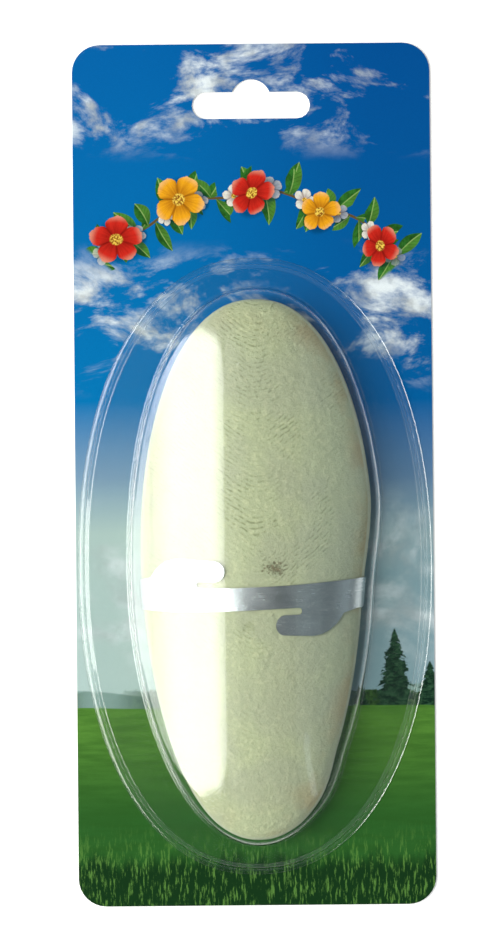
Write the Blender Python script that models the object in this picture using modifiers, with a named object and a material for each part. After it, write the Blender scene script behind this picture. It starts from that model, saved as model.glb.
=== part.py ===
"""A cuttlebone with its metal cage clip, sealed in a clear blister on a card that hangs from a peg.

The card lies on its back: +X is across it, +Y runs towards its hang slot and +Z out of its front.
Run it with blender --background --python part.py, or from Blender's text editor.
"""

import math

import bmesh
import bpy

MM = 0.001  # every size below is in millimetres, and Blender works in metres

# Card
CARD_WIDTH = 96.5
CARD_LENGTH = 232.5
CARD_THICKNESS = 0.6
CARD_CORNER_RADIUS = 7.5

# Hang slot, centred across the card: a round-ended slot with a crown that centres it on a peg
SLOT_BELOW_TOP = 16.6
SLOT_LENGTH = 31.9
SLOT_HEIGHT = 7.2
SLOT_CROWN_WIDTH = 10.1
SLOT_CROWN_RISE = 3.4

# Pieces that touch keep this gap, so that their solids don't overlap
CONTACT_GAP = 0.3

# Bone: its outline is an egg that is widest above its middle
BONE_WIDEST_Y = -19.0
BONE_HALF_WIDTH = 31.2
BONE_REACH_UP = 66.1
BONE_REACH_DOWN = 79.1
BONE_POWER_UP = 2.0
BONE_POWER_DOWN = 1.9
BONE_OUTLINE_ROOT = 0.45
BONE_THICKNESS_ROOT = 0.56
BONE_FRONT_BULGE = 12.4
BONE_FRONT_POWER = 1.35
BONE_BACK_BULGE = 6.3
BONE_BACK_POWER = 1.1
BONE_RIM_WIDTH = 2.2
BONE_RIM_STEP = 0.5
BONE_RIM_EDGE = 0.6
BONE_RINGS = 36
BONE_SEGMENTS = 48

# Clip: a flat blank, bent round the bone at a small gap from it
CLIP_Y = -33.1
CLIP_THICKNESS = 0.4
CLIP_END_REACH = 50.5
CLIP_END_HALF_WIDTH = 4.0
CLIP_END_RADIUS = 1.2
CLIP_SHOULDER_REACH = 33.0
CLIP_PLAIN_EDGE = ((21.5, 3.8), (11.4, 3.4), (0.0, 3.1))  # distance from the middle, and half width there
CLIP_NOTCH_EDGE = ((4.3, -2.5), (11.4, -2.1))
CLIP_NOTCH_CENTRE = (13.4, -3.45)
CLIP_NOTCH_RADIUS = 1.35
CLIP_TAB_CENTRE = (9.8, -7.5)
CLIP_TAB_RADIUS = 2.75
CLIP_HEEL_CENTRE = (18.5, 0.6)
CLIP_HEEL_RADIUS = 11.0
CLIP_DRIFT_RADIUS = 440.0  # the bone narrows downwards, so a straight strip climbs as it goes round
CLIP_BEND_STEP = 1.9

# Blister: ovals given by half width and half length, all on one centre
BLISTER_WALL = 0.4
BLISTER_CENTRE_Y = -24.7
BLISTER_OVAL_POWER = 2.2
FOOT_HALF_WIDTH = 46.7
FOOT_HALF_LENGTH = 82.1
FOOT_FLANGE = 1.0
FOOT_WALL_LEAN = 0.9
FOOT_FILLET = 0.4
FOOT_HEIGHT = 2.2
SKIRT_RISE = 0.8
VAULT_HALF_WIDTH = 34.8
VAULT_HALF_LENGTH = 75.4
VAULT_FILLET = 0.8
VAULT_WALL_LEAN = 1.3
VAULT_SHOULDER_HEIGHT = 4.0
VAULT_SHOULDER_WIDTH = 3.2
VAULT_SHOULDER_TURN = 68.0  # degrees, from upright
VAULT_CROWN_RISE = 6.0
VAULT_CLEARANCE = 0.4
SHOULDER_RINGS = 5
CROWN_RINGS = 6
OVAL_SEGMENTS = 56

ARC_STEPS = 8
SECTION_SAMPLES = 400

SHOULDER_RUN = 1 - math.cos(math.radians(VAULT_SHOULDER_TURN))
SHOULDER_CLIMB = math.sin(math.radians(VAULT_SHOULDER_TURN))
BONE_SIDES = {1: (BONE_FRONT_BULGE, BONE_FRONT_POWER), -1: (BONE_BACK_BULGE, BONE_BACK_POWER)}
BONE_EDGE_Z = CARD_THICKNESS + CONTACT_GAP + BONE_BACK_BULGE
BONE_CROWN_Z = BONE_EDGE_Z + BONE_FRONT_BULGE
FLANGE_TOP_Z = CARD_THICKNESS + CONTACT_GAP + BLISTER_WALL
VAULT_TOP_Z = BONE_CROWN_Z + CONTACT_GAP + CLIP_THICKNESS + VAULT_CLEARANCE + BLISTER_WALL


def clear_scene():
    for item in list(bpy.data.objects):
        bpy.data.objects.remove(item, do_unlink=True)


def new_collection(name):
    collection = bpy.data.collections.new(name)
    bpy.context.scene.collection.children.link(collection)
    return collection


def new_material(name, colour, roughness, metallic=0.0, alpha=1.0):
    material = bpy.data.materials.new(name)
    material.use_nodes = True
    shader = material.node_tree.nodes["Principled BSDF"]
    shader.inputs["Base Color"].default_value = (*colour, 1.0)
    shader.inputs["Roughness"].default_value = roughness
    shader.inputs["Metallic"].default_value = metallic
    shader.inputs["Alpha"].default_value = alpha
    return material


def mesh_object(name, mesh, material, collection):
    """Puts a bmesh drawn in millimetres into the scene as a smooth-shaded object."""
    bmesh.ops.scale(mesh, vec=(MM, MM, MM), verts=mesh.verts)
    bmesh.ops.recalc_face_normals(mesh, faces=mesh.faces)
    data = bpy.data.meshes.new(name)
    mesh.to_mesh(data)
    mesh.free()
    data.materials.append(material)
    data.shade_smooth()
    piece = bpy.data.objects.new(name, data)
    collection.objects.link(piece)
    return piece


def arc(centre_x, centre_y, radius, start, end, steps=ARC_STEPS):
    """Points along an arc, with its angles in degrees, both ends included."""
    angles = [math.radians(start + (end - start) * step / steps) for step in range(steps + 1)]
    return [(centre_x + radius * math.cos(a), centre_y + radius * math.sin(a)) for a in angles]


# Card


def card_outline():
    x = CARD_WIDTH / 2 - CARD_CORNER_RADIUS
    y = CARD_LENGTH / 2 - CARD_CORNER_RADIUS
    corners = ((x, y, 0), (-x, y, 90), (-x, -y, 180), (x, -y, 270))
    return [
        point
        for centre_x, centre_y, start in corners
        for point in arc(centre_x, centre_y, CARD_CORNER_RADIUS, start, start + 90)
    ]


def slot_outline():
    radius = SLOT_HEIGHT / 2
    reach = SLOT_LENGTH / 2 - radius
    middle = CARD_LENGTH / 2 - SLOT_BELOW_TOP
    chord = SLOT_CROWN_WIDTH / 2
    crown_radius = (chord**2 + SLOT_CROWN_RISE**2) / (2 * SLOT_CROWN_RISE)
    crown_centre = middle + radius + SLOT_CROWN_RISE - crown_radius
    lean = math.degrees(math.acos(chord / crown_radius))
    right_end = arc(reach, middle, radius, -90, 90)
    crown = arc(0, crown_centre, crown_radius, lean, 180 - lean, 2 * ARC_STEPS)
    left_end = arc(-reach, middle, radius, 90, 270)
    return right_end + crown + left_end


def build_card(collection):
    curve = bpy.data.curves.new("backing_card", "CURVE")
    curve.dimensions = "2D"
    curve.fill_mode = "BOTH"
    curve.extrude = CARD_THICKNESS / 2 * MM
    for outline in (card_outline(), slot_outline()):
        spline = curve.splines.new("POLY")
        spline.points.add(len(outline) - 1)
        for point, (x, y) in zip(spline.points, outline):
            point.co = (x * MM, y * MM, 0, 1)
        spline.use_cyclic_u = True
    curve.materials.append(new_material("printed_card", (0.05, 0.27, 0.50), 0.25))
    card = bpy.data.objects.new("backing_card", curve)
    card.location.z = CARD_THICKNESS / 2 * MM
    collection.objects.link(card)


# Bone


def bone_reach(share):
    """Distance from the widest place to the tip that share, from -1 at the foot to 1 at the top, runs to."""
    return BONE_REACH_UP if share > 0 else BONE_REACH_DOWN


def bone_room(share):
    """1 at the widest place, falling to 0 at both tips."""
    power = BONE_POWER_UP if share > 0 else BONE_POWER_DOWN
    return max(0.0, 1 - abs(share) ** power)


def bone_share(y):
    offset = y - BONE_WIDEST_Y
    return offset / bone_reach(offset)


def bone_section(share, angle, outward=0.0):
    """x and z round the bone's section, with 90 degrees at the front, moved outward from its skin."""
    side = math.copysign(1, math.sin(angle))
    bulge, power = BONE_SIDES[side]
    width = BONE_HALF_WIDTH * bone_room(share) ** BONE_OUTLINE_ROOT
    height = bulge * bone_room(share) ** BONE_THICKNESS_ROOT
    rise = abs(math.sin(angle))
    normal_x = height * power * rise ** (power - 1) * math.cos(angle)
    normal_z = width * math.sin(angle)
    scale = outward / (math.hypot(normal_x, normal_z) or 1.0)
    x = width * math.cos(angle) + normal_x * scale
    z = BONE_EDGE_Z + side * height * rise**power + normal_z * scale
    return x, z


def ramp(value, start, end):
    """0 before start and 1 after end, eased between them."""
    share = min(1.0, max(0.0, (value - start) / (end - start)))
    return share * share * (3 - 2 * share)


def rim_step(x, share):
    """How far the front is let down along the rim, where the horny back plate shows past the chalky body."""
    reach = bone_reach(share)
    along = share * reach
    spread = math.hypot(x / BONE_HALF_WIDTH, share)
    slope = math.hypot(x / BONE_HALF_WIDTH**2, along / reach**2) / max(spread, 0.01)
    inward = (1 - spread) / max(slope, 0.001)
    return BONE_RIM_STEP * ramp(inward, BONE_RIM_WIDTH + 1, BONE_RIM_WIDTH) * ramp(inward, 0, BONE_RIM_EDGE)


def build_bone(collection):
    mesh = bmesh.new()
    bmesh.ops.create_uvsphere(mesh, u_segments=BONE_SEGMENTS, v_segments=BONE_RINGS, radius=1)
    for vertex in mesh.verts:
        share = max(-1.0, min(1.0, vertex.co.z))
        angle = math.atan2(vertex.co.y, vertex.co.x)
        x, z = bone_section(share, angle)
        if angle > 0:
            z -= rim_step(x, share)
        vertex.co = (x, BONE_WIDEST_Y + share * bone_reach(share), z)
    mesh_object("cuttlebone", mesh, new_material("cuttlebone", (0.66, 0.66, 0.45), 0.7), collection)


# Clip


def tab_side():
    """The blank's lower edge from its middle to its right end: the notch, the tab and its heel."""
    notch = arc(*CLIP_NOTCH_CENTRE, CLIP_NOTCH_RADIUS, 90, -90, 6)
    tip = arc(*CLIP_TAB_CENTRE, CLIP_TAB_RADIUS, 90, 270)
    heel = arc(*CLIP_HEEL_CENTRE, CLIP_HEEL_RADIUS, -97, -30, 6)
    return [*CLIP_NOTCH_EDGE, *notch, *tip, *heel, (CLIP_SHOULDER_REACH, -CLIP_END_HALF_WIDTH)]


def blank_outline():
    """The flat blank. Its left half is its right half turned by half a turn."""
    inner = CLIP_END_HALF_WIDTH - CLIP_END_RADIUS
    end_x = CLIP_END_REACH - CLIP_END_RADIUS
    end = arc(end_x, -inner, CLIP_END_RADIUS, -90, 0, 4) + arc(end_x, inner, CLIP_END_RADIUS, 0, 90, 4)
    right = [*tab_side(), *end, (CLIP_SHOULDER_REACH, CLIP_END_HALF_WIDTH), *CLIP_PLAIN_EDGE]
    return right + [(-x, -y) for x, y in right]


def section_table(share, outward):
    """Arc lengths from the front's middle and their angles, half way round one section of the bone."""
    table = []
    length = 0.0
    before = None
    for sample in range(SECTION_SAMPLES + 1):
        angle = math.pi / 2 - math.pi * sample / SECTION_SAMPLES
        point = bone_section(share, angle, outward)
        if before:
            length += math.dist(point, before)
        before = point
        table.append((length, angle))
    return table


def angle_at(table, length):
    for (low, start), (high, end) in zip(table, table[1:]):
        if high >= length:
            return start + (end - start) * (length - low) / (high - low)
    raise ValueError("the clip is longer than the way round the bone")


def build_clip(collection):
    outward = CONTACT_GAP + CLIP_THICKNESS / 2
    table = section_table(bone_share(CLIP_Y), outward)
    mesh = bmesh.new()
    mesh.faces.new([mesh.verts.new((x, y, 0)) for x, y in blank_outline()])
    bends = int(CLIP_END_REACH / CLIP_BEND_STEP)
    for bend in range(-bends, bends + 1):
        everything = mesh.verts[:] + mesh.edges[:] + mesh.faces[:]
        line = (bend * CLIP_BEND_STEP, 0, 0)
        bmesh.ops.bisect_plane(mesh, geom=everything, plane_co=line, plane_no=(1, 0, 0))
    for vertex in mesh.verts:
        across, along, _ = vertex.co
        y = CLIP_Y + along + across**2 / (2 * CLIP_DRIFT_RADIUS)
        angle = angle_at(table, abs(across))
        x, z = bone_section(bone_share(y), angle, outward)
        vertex.co = (math.copysign(x, across), y, z)
    clip = mesh_object("clip", mesh, new_material("bright_strip", (0.62, 0.63, 0.67), 0.3, 1.0), collection)
    wall = clip.modifiers.new("sheet", "SOLIDIFY")
    wall.thickness = CLIP_THICKNESS * MM
    wall.offset = 0.0


# Blister


def oval(half_width, half_length, z):
    """One ring of the blister, a slightly squared oval."""
    ring = []
    for segment in range(OVAL_SEGMENTS):
        angle = 2 * math.pi * segment / OVAL_SEGMENTS
        across = math.copysign(abs(math.cos(angle)) ** (2 / BLISTER_OVAL_POWER), math.cos(angle))
        along = math.copysign(abs(math.sin(angle)) ** (2 / BLISTER_OVAL_POWER), math.sin(angle))
        ring.append((half_width * across, BLISTER_CENTRE_Y + half_length * along, z))
    return ring


def foot_rings():
    """Flange, low outer wall and skirt, from the outside in."""
    top = FLANGE_TOP_Z + FOOT_HEIGHT
    steps = (
        (-FOOT_FLANGE, FLANGE_TOP_Z),
        (0.0, FLANGE_TOP_Z),
        (FOOT_WALL_LEAN * 0.35, FLANGE_TOP_Z + FOOT_FILLET),
        (FOOT_WALL_LEAN, top - FOOT_FILLET),
        (FOOT_WALL_LEAN + FOOT_FILLET, top),
    )
    rings = [oval(FOOT_HALF_WIDTH - inset, FOOT_HALF_LENGTH - inset, z) for inset, z in steps]
    base = VAULT_HALF_WIDTH + VAULT_FILLET
    rings.append(oval(base, VAULT_HALF_LENGTH + VAULT_FILLET, top + SKIRT_RISE))
    return rings


def wall_rings():
    """The steep wall, and the round shoulder that it turns into."""
    base_z = FLANGE_TOP_Z + FOOT_HEIGHT + SKIRT_RISE + VAULT_FILLET
    shoulder_z = VAULT_TOP_Z - VAULT_CROWN_RISE - VAULT_SHOULDER_HEIGHT
    steps = [(0.0, base_z)]
    for ring in range(SHOULDER_RINGS + 1):
        turn = math.radians(VAULT_SHOULDER_TURN) * ring / SHOULDER_RINGS
        inset = VAULT_WALL_LEAN + VAULT_SHOULDER_WIDTH * (1 - math.cos(turn)) / SHOULDER_RUN
        z = shoulder_z + VAULT_SHOULDER_HEIGHT * math.sin(turn) / SHOULDER_CLIMB
        steps.append((inset, z))
    return [oval(VAULT_HALF_WIDTH - inset, VAULT_HALF_LENGTH - inset, z) for inset, z in steps]


def crown_rings():
    """The gently crowned front face, inside the shoulder."""
    inset = VAULT_WALL_LEAN + VAULT_SHOULDER_WIDTH
    rings = []
    for ring in range(1, CROWN_RINGS):
        share = 1 - ring / CROWN_RINGS
        z = VAULT_TOP_Z - VAULT_CROWN_RISE * share**2
        rings.append(oval((VAULT_HALF_WIDTH - inset) * share, (VAULT_HALF_LENGTH - inset) * share, z))
    return rings


def build_blister(collection):
    mesh = bmesh.new()
    rows = [[mesh.verts.new(point) for point in ring] for ring in foot_rings() + wall_rings() + crown_rings()]
    for lower, upper in zip(rows, rows[1:]):
        for side in range(OVAL_SEGMENTS):
            after = (side + 1) % OVAL_SEGMENTS
            mesh.faces.new((lower[side], lower[after], upper[after], upper[side]))
    crown = mesh.verts.new((0, BLISTER_CENTRE_Y, VAULT_TOP_Z))
    for side in range(OVAL_SEGMENTS):
        mesh.faces.new((rows[-1][side], rows[-1][(side + 1) % OVAL_SEGMENTS], crown))
    material = new_material("clear_blister", (0.90, 0.95, 0.97), 0.08, alpha=0.25)
    blister = mesh_object("blister", mesh, material, collection)
    wall = blister.modifiers.new("wall", "SOLIDIFY")
    wall.thickness = BLISTER_WALL * MM
    wall.offset = -1.0


def main():
    clear_scene()
    collection = new_collection("cuttlebone_pack")
    build_card(collection)
    build_bone(collection)
    build_clip(collection)
    build_blister(collection)


main()
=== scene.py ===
"""A cuttlebone with its cage clip, sealed in a clear blister on a printed hanging card.

The card lies on its back: +X is across it, +Y runs towards its hang slot and +Z out of its front.
Shapes are drawn in millimetres and turned into metres when a mesh is made.
"""

import math

import bmesh
import bpy
import numpy as np
from bpy.props import FloatProperty, FloatVectorProperty, PointerProperty
from mathutils import Euler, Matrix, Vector, noise


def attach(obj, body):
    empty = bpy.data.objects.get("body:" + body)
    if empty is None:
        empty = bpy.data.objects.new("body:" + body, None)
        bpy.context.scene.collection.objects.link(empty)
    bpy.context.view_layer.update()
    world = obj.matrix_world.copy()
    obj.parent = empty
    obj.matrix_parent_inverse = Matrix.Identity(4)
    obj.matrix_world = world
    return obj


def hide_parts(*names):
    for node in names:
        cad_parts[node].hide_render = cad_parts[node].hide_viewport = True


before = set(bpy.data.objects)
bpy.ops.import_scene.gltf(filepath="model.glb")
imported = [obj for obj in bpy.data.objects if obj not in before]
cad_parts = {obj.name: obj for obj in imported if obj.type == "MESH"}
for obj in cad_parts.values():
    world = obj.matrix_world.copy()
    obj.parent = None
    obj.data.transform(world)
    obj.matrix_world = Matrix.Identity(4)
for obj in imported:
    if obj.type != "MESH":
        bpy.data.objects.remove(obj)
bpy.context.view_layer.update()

bl_info = {
    "name": "Cuttlebone Pack",
    "version": (1, 0, 0),
    "blender": (4, 5, 0),
    "location": "View3D > Sidebar > Pack",
    "description": "Builds a cuttlebone with its cage clip in a clear blister on a printed card",
    "category": "Add Mesh",
}

MM = 0.001

# Card
CARD_LENGTH = 232.5
CARD_FRONT_Z = 0.6
HORIZON_Y = -62.0
FIRS = ((28.5, 9.0, 3.0), (47.0, 15.5, 5.2), (37.5, 24.5, 6.4))  # middle, height, half width
GARLAND_CENTRE_Y = 22.0
GARLAND_RADIUS = 54.0
# Turn from one leaf to the next, shift of the first, lean and size
GARLAND_LEAVES = ((0.094, 0.03, 0.9, 7.0), (0.102, 0.0, -0.3, 8.2), (0.123, 0.06, 0.35, 8.8))

# Bone
BONE_WIDEST_Y = -19.0
BONE_REACH_UP = 66.1
BONE_REACH_DOWN = 79.1
BONE_HALF_WIDTH = 31.2
BONE_CENTRE_X = 0.6  # the bone and its vault sit a little to the right of the card's middle
LOWER_RIGHT = 0.085  # how much narrower the bone, its clip and its vault are on the lower right
LOWER_RIGHT_TOP = (-3.0, -34.0)  # between these heights it sets in
LOWER_RIGHT_FOOT = (-90.0, -72.0)  # and between these it goes again, upward
BONE_TIP_POWERS = (2.0, 1.9)  # how full the upper and the lower end are
BONE_OUTLINE_ROOT = 0.45
BONE_THICKNESS_ROOT = 0.56
BONE_FRONT = (12.4, 1.35)  # bulge, and how sharply it rises from the rim
BONE_BACK = (6.3, 1.1)
BONE_EDGE_Z = 7.2
BONE_RIM = (0.12, 1.1, 0.8)  # step, width and soft edge of the rim
BONE_MARKS = ((5.4, -25.0, 2.4, 0.34), (-2.8, -40.6, 1.8, 0.24))  # crumbly: place, size, depth
LINE_BEND = 4.0  # half width of the bend of a growth line
LINE_RISE = 0.9  # how steeply its arms rise
BONE_RINGS = 420
BONE_FRONT_STEPS = 148
BONE_BACK_STEPS = 50

# Clip
CLIP_Y = -33.1
CLIP_END_REACH = 50.5
CLIP_END_HALF_WIDTH = 4.0
CLIP_END_RADIUS = 1.2
CLIP_SHOULDER_REACH = 33.0
CLIP_PLAIN_EDGE = ((21.5, 3.8), (11.4, 3.4), (0.0, 3.1))
CLIP_NOTCH_EDGE = ((4.3, -2.9), (11.4, -2.7))
CLIP_DRIFT_RADIUS = 440.0
CLIP_GAP = 0.3
CLIP_SEAT = (0.22, 9.0)  # how much closer it lies over the bone's middle, and over what reach
CLIP_LEAN = (0.02, 14.0)  # slope and reach of its slight lean there
CLIP_OFFSET = -1.6  # how far the strip sits off the middle of the bone
CLIP_TAB_REACH = 11.0
CLIP_BEND_STEP = 0.8

# Blister
BLISTER_CENTRE_Y = -24.7
BLISTER_OVAL_POWER = 2.2
VAULT_LOW_POWER = 2.0  # the vault is rounder at its lower end
FOOT_HALVES = (46.7, 82.1)
VAULT_HALVES = (34.8, 75.4)
FLANGE_TOP_Z = 1.3
FOOT_TOP_Z = 3.5
FOOT_WIDTH = 1.96  # from the foot's outline to the skirt
SKIRT_TOP_Z = 3.75
SKIRT_PORTIONS = (0.012, 0.04, 0.15, 0.3, 0.45, 0.6, 0.75, 0.88, 0.96, 0.988)
WALL_BASE_Z = 4.1
SHOULDER_Z = 12.0
SHOULDER_INSET = 0.75
SHOULDER_TURN = math.radians(69.5)
SHOULDER_STEPS = 18
CROWN_TOP_Z = 21.1
CROWN_RISE = 6.53
CROWN_INSET = 2.4
CROWN_STEPS = 32
OVAL_SEGMENTS = 288

# Stage
SENSOR_WIDTH = 36.0
CAMERA_SHIFT = (-1.76, 0.57)
LIGHT_TARGET_Z = 15.0
FLOOR_HALF = 3000.0
FLOOR_Z = -0.05


def tint(red, green, blue):
    """A display colour, 0 to 255 a channel, as the linear colour that shaders use."""
    parts = (channel / 255 for channel in (red, green, blue))
    return tuple(p / 12.92 if p < 0.04045 else ((p + 0.055) / 1.055) ** 2.4 for p in parts)


def length(name, description, default):
    limits = {"min": 0.0, "precision": 5, "unit": "LENGTH"}
    return FloatProperty(name=name, description=description, default=default, **limits)


def share(name, description, default):
    limits = {"min": 0.0, "max": 1.0, "subtype": "FACTOR"}
    return FloatProperty(name=name, description=description, default=default, **limits)


def amount(name, description, default):
    return FloatProperty(name=name, description=description, default=default, subtype="NONE")


def colour(name, description, default):
    limits = {"min": 0.0, "max": 1.0, "size": 3, "subtype": "COLOR"}
    return FloatVectorProperty(name=name, description=description, default=default, **limits)


def angle(name, description, degrees):
    default = math.radians(degrees)
    return FloatProperty(name=name, description=description, default=default, subtype="ANGLE")


class CardSettings(bpy.types.PropertyGroup):
    sky: colour("Sky", "Deep blue at the card's top", tint(2, 100, 172))
    haze: colour("Haze", "Pale sky above the horizon", tint(178, 202, 198))
    cloud: colour("Cloud", "Sunlit side of the clouds", tint(232, 240, 244))
    meadow: colour("Meadow", "Grass near the horizon", tint(88, 138, 54))
    grass: colour("Grass", "Grass at the card's foot", tint(44, 96, 40))
    leaf: colour("Leaf", "Leaves of the garland", tint(52, 120, 44))
    blossom: colour("Blossom", "Petals of every second blossom", tint(206, 42, 30))
    second_blossom: colour("Second blossom", "Petals of the blossoms between", tint(240, 168, 30))
    board: colour("Board", "Bare board on the back", tint(176, 172, 162))
    gloss: share("Print roughness", "Roughness of the varnished print", 0.07)


class BoneSettings(bpy.types.PropertyGroup):
    chalk: colour("Chalk", "Chalky front of the bone", tint(186, 193, 154))
    groove: colour("Groove", "Tone in pits and between growth lines", tint(142, 150, 108))
    rim: colour("Rim", "Smooth horny rim", tint(190, 196, 172))
    stain: colour("Stain", "Orange tinge beside the rim", tint(176, 144, 94))
    blemish: colour("Blemish", "Brown mark above the clip", tint(120, 94, 58))
    line_spacing: length("Line spacing", "Distance from one growth line to the next", 0.0014)
    line_depth: length("Line depth", "Depth of a growth line", 0.0002)
    pit_depth: length("Pit depth", "Depth of the fine pits", 0.0003)


class ClipSettings(bpy.types.PropertyGroup):
    metal: colour("Metal", "Bare aluminium", (0.54, 0.59, 0.61))
    thickness: length("Thickness", "Thickness of the strip", 0.0004)
    brushing: share("Brushing", "Roughness of the brushed metal", 0.25)


class BlisterSettings(bpy.types.PropertyGroup):
    film: colour("Film", "Tint of the clear film", (0.985, 0.995, 0.99))
    wall: length("Wall", "Thickness of the moulded film", 0.0004)
    polish: share("Polish", "Roughness of the film", 0.05)
    refraction: amount("Refraction", "Index of refraction of the film", 1.5)
    ripple: length("Ripple", "Height of the film's slow ripples", 0.00002)


class StageSettings(bpy.types.PropertyGroup):
    camera_height: length("Camera height", "Height of the camera above the card", 1.3)
    frame_height: length("Frame height", "Length of the picture at the card", 0.25515)
    roll: angle("Roll", "Turn of the camera about its own axis", -0.5)
    softbox_distance: length("Softbox distance", "From the blister to each light", 2.0)
    softbox_brightness: amount("Softbox brightness", "Radiance of the key light", 7.6)
    floor: colour("Floor", "Pale table", (0.93, 0.93, 0.93))
    floor_light: share("Floor light", "Light that the table itself gives", 0.25)


class Number:
    """A shader socket that carries one number. A sum written on it adds Math nodes to its tree."""

    def __init__(self, wiring, socket):
        self.wiring = wiring
        self.socket = socket

    def maths(self, operation, *values):
        sockets = dict(zip(("Value", "Value_001", "Value_002"), values))
        return self.wiring.number("ShaderNodeMath", {"operation": operation}, sockets)

    def __add__(self, other):
        return self.maths("ADD", self, other)

    def __radd__(self, other):
        return self.maths("ADD", other, self)

    def __sub__(self, other):
        return self.maths("SUBTRACT", self, other)

    def __rsub__(self, other):
        return self.maths("SUBTRACT", other, self)

    def __mul__(self, other):
        return self.maths("MULTIPLY", self, other)

    def __rmul__(self, other):
        return self.maths("MULTIPLY", other, self)

    def __truediv__(self, other):
        return self.maths("DIVIDE", self, other)

    def __rtruediv__(self, other):
        return self.maths("DIVIDE", other, self)

    def __pow__(self, other):
        return self.maths("POWER", self, other)

    def __neg__(self):
        return self.maths("MULTIPLY", self, -1.0)

    def __abs__(self):
        return self.maths("ABSOLUTE", self)

    def apply(self, operation):
        return self.maths(operation, self)

    def most(self, other):
        return self.maths("MAXIMUM", self, other)

    def least(self, other):
        return self.maths("MINIMUM", self, other)

    def ramp(self, start, end, low=0.0, high=1.0):
        """low before start and high after end, eased between them."""
        settings = {"interpolation_type": "SMOOTHSTEP"}
        sockets = {"Value": self, "From Min": start, "From Max": end, "To Min": low, "To Max": high}
        return self.wiring.number("ShaderNodeMapRange", settings, sockets)


def hypot(first, second):
    return (first * first + second * second) ** 0.5


class Wiring:
    """The node tree of one material or world, with one method that makes any node."""

    def __init__(self, owner):
        owner.use_nodes = True
        self.tree = owner.node_tree
        self.tree.nodes.clear()

    def node(self, kind, settings=None, sockets=None):
        made = self.tree.nodes.new(kind)
        for name, value in (settings or {}).items():
            if name == "stops":
                self.set_stops(made.color_ramp, value)
            else:
                setattr(made, name, value)
        for name, value in (sockets or {}).items():
            entry = next(item for item in made.inputs if item.identifier == name)
            source = getattr(value, "socket", value)
            if isinstance(source, bpy.types.NodeSocket):
                self.tree.links.new(source, entry)
            else:
                entry.default_value = source
        return made

    @staticmethod
    def set_stops(color_ramp, stops):
        while len(color_ramp.elements) < len(stops):
            color_ramp.elements.new(0.5)
        for element, (position, tone) in zip(color_ramp.elements, stops):
            element.position = position
            element.color = (*tone, 1.0)

    def number(self, kind, settings=None, sockets=None, output=0):
        return Number(self, self.node(kind, settings, sockets).outputs[output])

    def place(self):
        """The surface point in millimetres, as a vector and as its three numbers."""
        point = self.node("ShaderNodeTexCoord").outputs["Object"]
        vector = self.stretched(point, (1 / MM, 1 / MM, 1 / MM))
        parts = self.node("ShaderNodeSeparateXYZ", None, {"Vector": vector}).outputs
        return vector, *(Number(self, part) for part in parts)

    def stretched(self, vector, scales):
        sockets = {"Vector": vector, "Vector_001": scales}
        return self.node("ShaderNodeVectorMath", {"operation": "MULTIPLY"}, sockets).outputs[0]

    def vector(self, x, y=0.0, z=0.0):
        return self.node("ShaderNodeCombineXYZ", None, {"X": x, "Y": y, "Z": z}).outputs[0]

    def grain(self, vector, size, detail=2.0, roughness=0.5, distortion=0.0):
        """Noise around 0.5 whose features are about size across."""
        sockets = {
            "Vector": vector,
            "Scale": 1 / size,
            "Detail": detail,
            "Roughness": roughness,
            "Distortion": distortion,
        }
        return self.number("ShaderNodeTexNoise", None, sockets)

    def mix(self, factor, first, second, blend="MIX"):
        settings = {"data_type": "RGBA", "blend_type": blend}
        first, second = ((*tone, 1.0) if is_plain_tone(tone) else tone for tone in (first, second))
        sockets = {"Factor_Float": factor, "A_Color": first, "B_Color": second}
        return self.node("ShaderNodeMix", settings, sockets).outputs[2]

    def dimmed(self, tone, shares):
        return self.mix(1.0, tone, shares, "MULTIPLY")

    def tones(self, value, stops):
        return self.node("ShaderNodeValToRGB", {"stops": stops}, {"Fac": value}).outputs[0]

    def bump(self, height, distance):
        sockets = {"Height": height, "Distance": distance, "Strength": 1.0}
        return self.node("ShaderNodeBump", None, sockets).outputs[0]

    def surface(self, shader):
        self.node("ShaderNodeOutputMaterial", None, {"Surface": shader})

    def principled(self, sockets):
        self.surface(self.node("ShaderNodeBsdfPrincipled", None, sockets).outputs[0])


def is_plain_tone(tone):
    """Whether a tone is three numbers, which a socket takes only with a fourth."""
    return not isinstance(tone, (bpy.types.NodeSocket, Number)) and len(tone) == 3


def new_finish(name):
    material = bpy.data.materials.new(name)
    return material, Wiring(material)


def add_piece(name, points, faces, material):
    """Puts a mesh drawn in millimetres into the scene, smooth and with its faces outward."""
    data = bpy.data.meshes.new(name)
    data.from_pydata((np.asarray(points) * MM).tolist(), [], faces)
    mesh = bmesh.new()
    mesh.from_mesh(data)
    bmesh.ops.recalc_face_normals(mesh, faces=mesh.faces)
    mesh.to_mesh(data)
    mesh.free()
    data.materials.append(material)
    data.shade_smooth()
    piece = bpy.data.objects.new(name, data)
    bpy.context.scene.collection.objects.link(piece)
    return piece


def grid_faces(rows, columns):
    """Quads between rows of points that each run once round."""
    faces = []
    for row in range(rows - 1):
        for column in range(columns):
            after = (column + 1) % columns
            start, above = row * columns, (row + 1) * columns
            faces.append((start + column, start + after, above + after, above + column))
    return faces


def fan_faces(start, columns, tip):
    return [(start + column, start + (column + 1) % columns, tip) for column in range(columns)]


def eased(value, start, end):
    portion = np.clip((value - start) / (end - start), 0.0, 1.0)
    return portion * portion * (3 - 2 * portion)


def lower_right(x, y):
    """x measured from the bone's middle, drawn in on the lower right."""
    share = LOWER_RIGHT * eased(y, *LOWER_RIGHT_TOP) * eased(y, *LOWER_RIGHT_FOOT)
    return np.where(x > 0, x * (1 - share), x)


def noise_over(points, size, shift):
    """Smooth noise from about -1 to 1 at each point, with features about size across."""
    scaled = points / size + shift
    return np.array([noise.noise(Vector(point)) for point in scaled])


# Card print


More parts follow.
